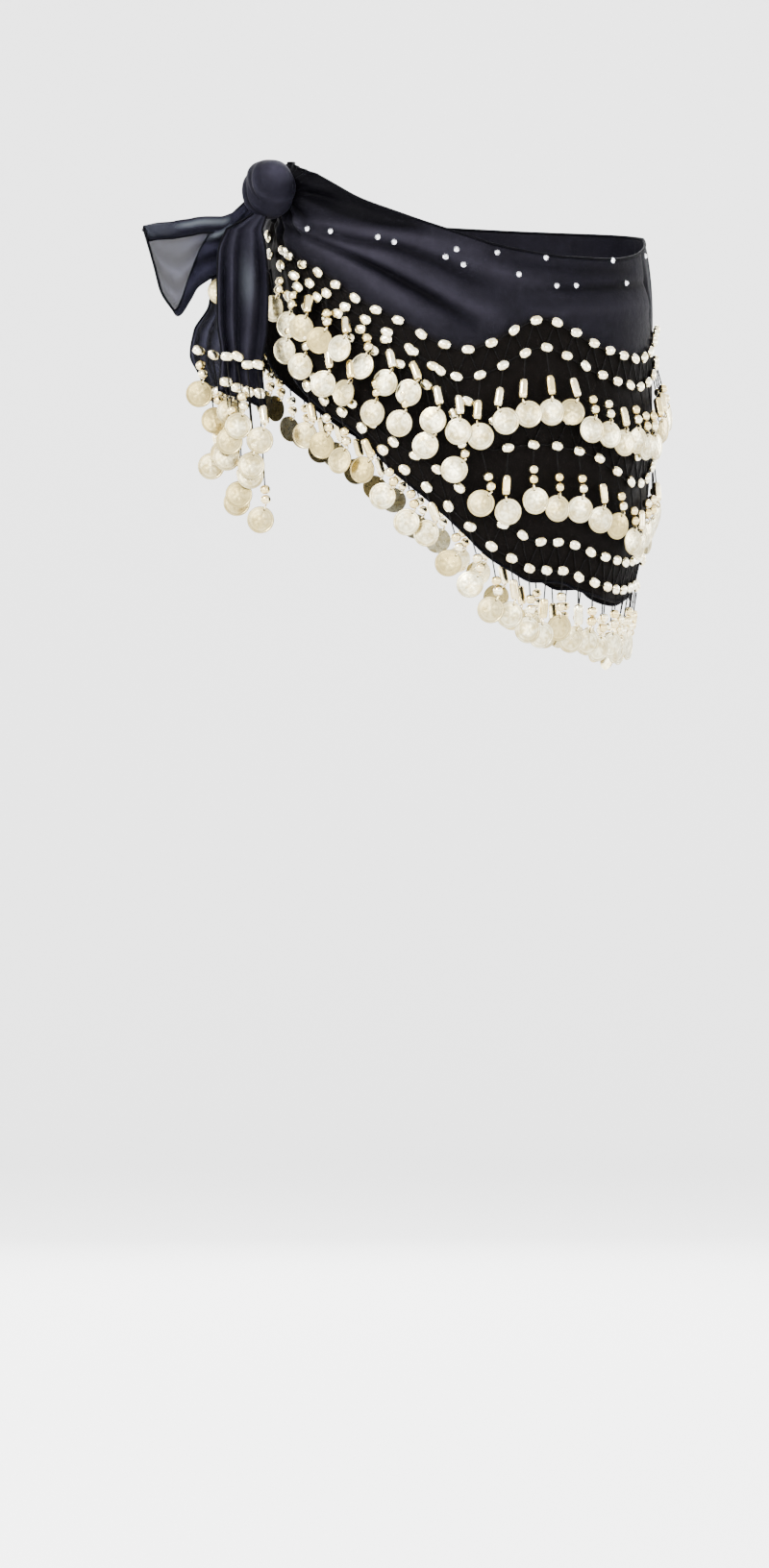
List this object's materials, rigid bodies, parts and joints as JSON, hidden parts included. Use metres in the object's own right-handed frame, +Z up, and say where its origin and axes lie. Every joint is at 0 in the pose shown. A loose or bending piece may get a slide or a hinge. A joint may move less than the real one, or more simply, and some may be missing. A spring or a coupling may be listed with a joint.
{
  "type": "belly dance hip scarf",
  "caption": "Triangular chiffon hip scarf wound round the hips and tied at one side, with tiers of beads and coin drops.",
  "frame": {"origin": "centre of the wearer's hips at the level of the scarf's top band, where the body holds the scarf up", "axes": "+Z up, the wearer faces -Y, the knot is at -X and the triangle's point hangs at +X"},
  "size_m": [0.428, 0.2791, 0.3999],
  "materials": {
    "chiffon": "matt black chiffon with a navy cast",
    "sheer": "single sheer layer of the same chiffon",
    "gold": "bright pale gold plating"
  },
  "bodies": {
    "root": {"front_wrap": "chiffon", "back_wrap": "chiffon", "knot": "chiffon", "tail_bow": "sheer", "tail_hanging": "chiffon", "tail_under": "sheer", "fringe_upper_front": "gold", "fringe_upper_back": "gold", "fringe_middle_front": "gold", "fringe_middle_back": "gold", "fringe_lower_front": "gold", "fringe_lower_back": "gold", "fringe_end_upper": "gold", "fringe_end_lower": "gold", "fringe_under_upper": "gold", "fringe_under_middle": "gold", "fringe_under_lower": "gold"}
  },
  "joints": []
}
